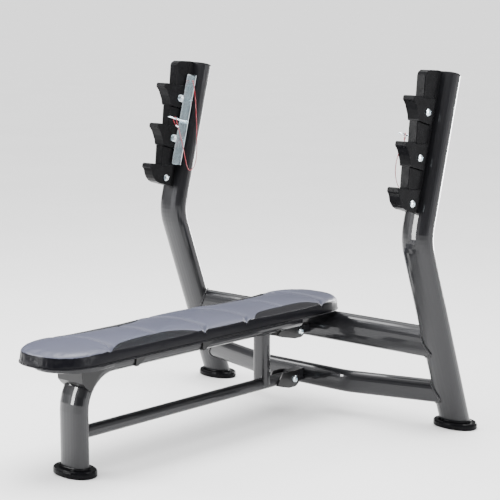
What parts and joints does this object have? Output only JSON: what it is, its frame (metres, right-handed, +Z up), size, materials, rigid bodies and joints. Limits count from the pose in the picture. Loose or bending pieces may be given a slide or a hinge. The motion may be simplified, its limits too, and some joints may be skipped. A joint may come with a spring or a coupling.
{
  "type": "olympic bench press",
  "caption": "Flat padded weight bench between two bent oval-tube uprights with hook racks for a long bar, pull-out lock pins on lanyards and oval rubber feet.",
  "frame": {"origin": "centre of the bounding box at floor level", "axes": "+Z up, +Y along the pad towards the rack end, +X across the bench to the right as seen from its foot end"},
  "size_m": [1.353, 1.54, 1.2951],
  "materials": {
    "frame_paint": "graphite metallic powder coat, satin gloss",
    "bracket_paint": "black powder coat, satin",
    "liner_nylon": "moulded black nylon, satin",
    "foot_rubber": "moulded black rubber, polished",
    "cap_plastic": "moulded black plastic",
    "zinc_steel": "bright zinc plate",
    "pad_vinyl": "blue-grey vinyl top with black vinyl sides",
    "pad_board": "painted plywood",
    "lanyard_vinyl": "red vinyl-coated cord"
  },
  "bodies": {
    "bench": {"front_foot": "foot_rubber", "front_leg_top_rail": "frame_paint", "front_saddle": "bracket_paint", "front_support_plate": "frame_paint", "left_foot": "foot_rubber", "left_hook_liner_1": "liner_nylon", "left_hook_liner_2": "liner_nylon", "left_hook_liner_3": "liner_nylon", "left_lanyard": "lanyard_vinyl", "left_lock_bracket": "zinc_steel", "left_rack_bolt_1": "zinc_steel", "left_rack_bolt_2": "zinc_steel", "left_rack_bolt_3": "zinc_steel", "left_rack_nut_1": "zinc_steel", "left_rack_nut_2": "zinc_steel", "left_rack_nut_3": "zinc_steel", "left_rack_spine": "bracket_paint", "left_upright": "frame_paint", "left_upright_cap": "cap_plastic", "lower_crossmember": "frame_paint", "lower_rail": "frame_paint", "lower_rail_ear_left": "bracket_paint", "lower_rail_ear_right": "bracket_paint", "lower_rail_joint_bolt": "zinc_steel", "lower_rail_joint_nut": "zinc_steel", "lower_rail_lug": "frame_paint", "pad_board": "pad_board", "pad_bracket_front": "bracket_paint", "pad_bracket_rear": "bracket_paint", "pad_cushion": "pad_vinyl", "pad_screw_1": "zinc_steel", "pad_screw_2": "zinc_steel", "pad_screw_3": "zinc_steel", "pad_screw_4": "zinc_steel", "rear_support_post": "frame_paint", "right_foot": "foot_rubber", "right_hook_liner_1": "liner_nylon", "right_hook_liner_2": "liner_nylon", "right_hook_liner_3": "liner_nylon", "right_lanyard": "lanyard_vinyl", "right_lock_bracket": "zinc_steel", "right_rack_bolt_1": "zinc_steel", "right_rack_bolt_2": "zinc_steel", "right_rack_bolt_3": "zinc_steel", "right_rack_nut_1": "zinc_steel", "right_rack_nut_2": "zinc_steel", "right_rack_nut_3": "zinc_steel", "right_rack_spine": "bracket_paint", "right_upright": "frame_paint", "right_upright_cap": "cap_plastic", "top_rail_ear_left": "bracket_paint", "top_rail_ear_right": "bracket_paint", "top_rail_joint_bolt": "zinc_steel", "top_rail_joint_nut": "zinc_steel", "top_rail_lug": "frame_paint", "upper_crossmember": "frame_paint"},
    "left_pin": {"left_lock_pin": "zinc_steel"},
    "right_pin": {"right_lock_pin": "zinc_steel"}
  },
  "joints": [
    {"name": "left_pin_slide", "type": "slide", "parent": "bench", "child": "left_pin", "axis": [0, -0.966, 0.2584], "range_m": [0, 0.045]},
    {"name": "right_pin_slide", "type": "slide", "parent": "bench", "child": "right_pin", "axis": [0, -0.966, 0.2584], "range_m": [0, 0.045]}
  ]
}
